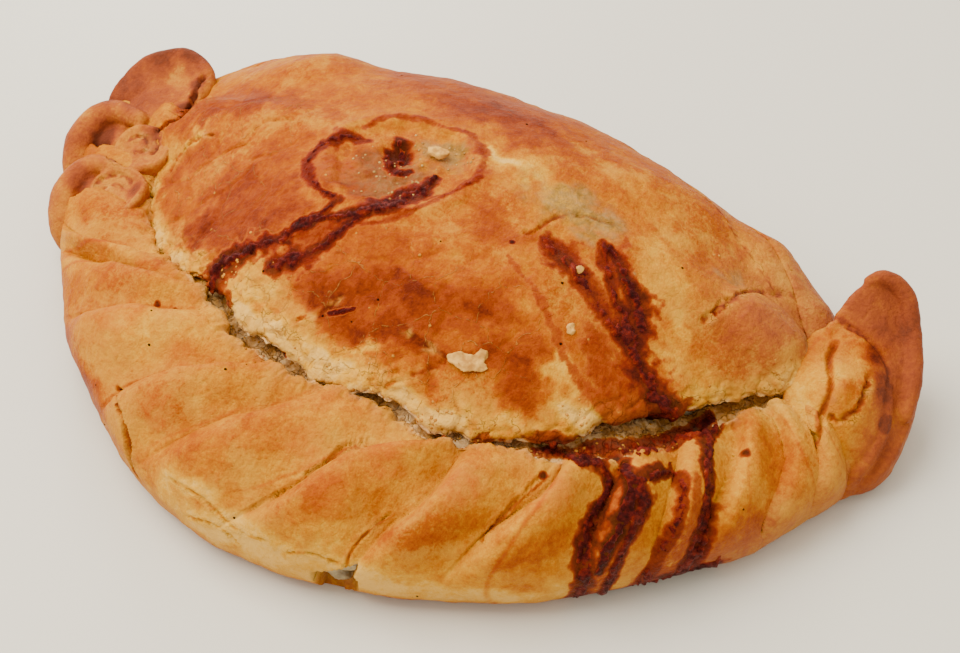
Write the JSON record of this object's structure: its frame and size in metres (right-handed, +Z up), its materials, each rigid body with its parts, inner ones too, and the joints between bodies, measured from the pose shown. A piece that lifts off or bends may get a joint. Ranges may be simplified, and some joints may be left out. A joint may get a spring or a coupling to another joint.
{
  "type": "cornish pasty",
  "caption": "Baked pastry case folded into a half round, with a rope-like crimped edge, curled corners and a savoury filling.",
  "frame": {"origin": "centre of the base of the whole, on the surface it rests on", "axes": "+X towards the curled right corner, -Y towards the crimped front, +Z up"},
  "size_m": [0.1903, 0.1226, 0.0439],
  "materials": {
    "baked_pastry": "satin, golden brown with red-brown blotches",
    "potato_and_beef": "moist, grey beige",
    "gravy": "dark, baked on, glossy in places"
  },
  "bodies": {
    "root": {"crust": "baked_pastry", "filling": "potato_and_beef"}
  },
  "joints": []
}
